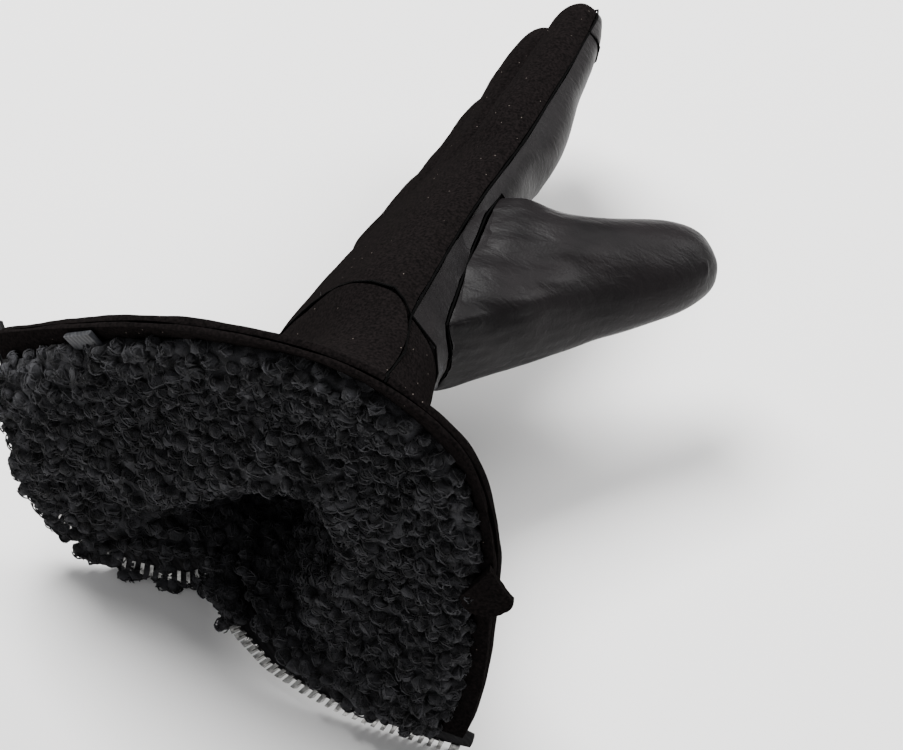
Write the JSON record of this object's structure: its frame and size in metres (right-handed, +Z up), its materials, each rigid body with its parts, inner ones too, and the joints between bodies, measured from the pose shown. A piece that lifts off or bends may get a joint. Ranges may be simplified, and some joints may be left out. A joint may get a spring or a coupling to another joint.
{
  "type": "lined leather winter glove",
  "caption": "Left-hand winter glove with leather palm and thumb, cloth back, and a flared cuff lined with curly pile, its zip open.",
  "frame": {"origin": "middle of the base of the object's box, on the surface that the glove lies on", "axes": "+Y along the glove from the cuff's hem to the fingertips, +Z up from the surface, +X to the side that the thumb points to"},
  "size_m": [0.197, 0.2724, 0.1545],
  "materials": {
    "leather": "smooth dark grey nappa leather with a satin sheen",
    "softshell": "matt near-black softshell cloth",
    "pile": "curly charcoal bouclé shearling pile",
    "tape": "woven black zip tape",
    "ribbon": "dark grey woven ribbon",
    "nickel": "polished nickel-plated zip metal"
  },
  "bodies": {
    "root": {"back_of_hand": "softshell", "palm": "leather", "index_touch_patch": "leather", "thumb": "leather", "cuff_back": "softshell", "cuff_palm": "softshell", "pile_lining": "pile", "hem_facing": "softshell", "zip_tape_back": "tape", "zip_teeth_back": "nickel", "zip_stop_back": "nickel", "zip_tape_palm": "tape", "zip_teeth_palm": "nickel", "zip_stop_palm": "nickel", "pull_tab": "softshell", "ribbon_loop": "ribbon", "zip_slider": "nickel"}
  },
  "joints": []
}
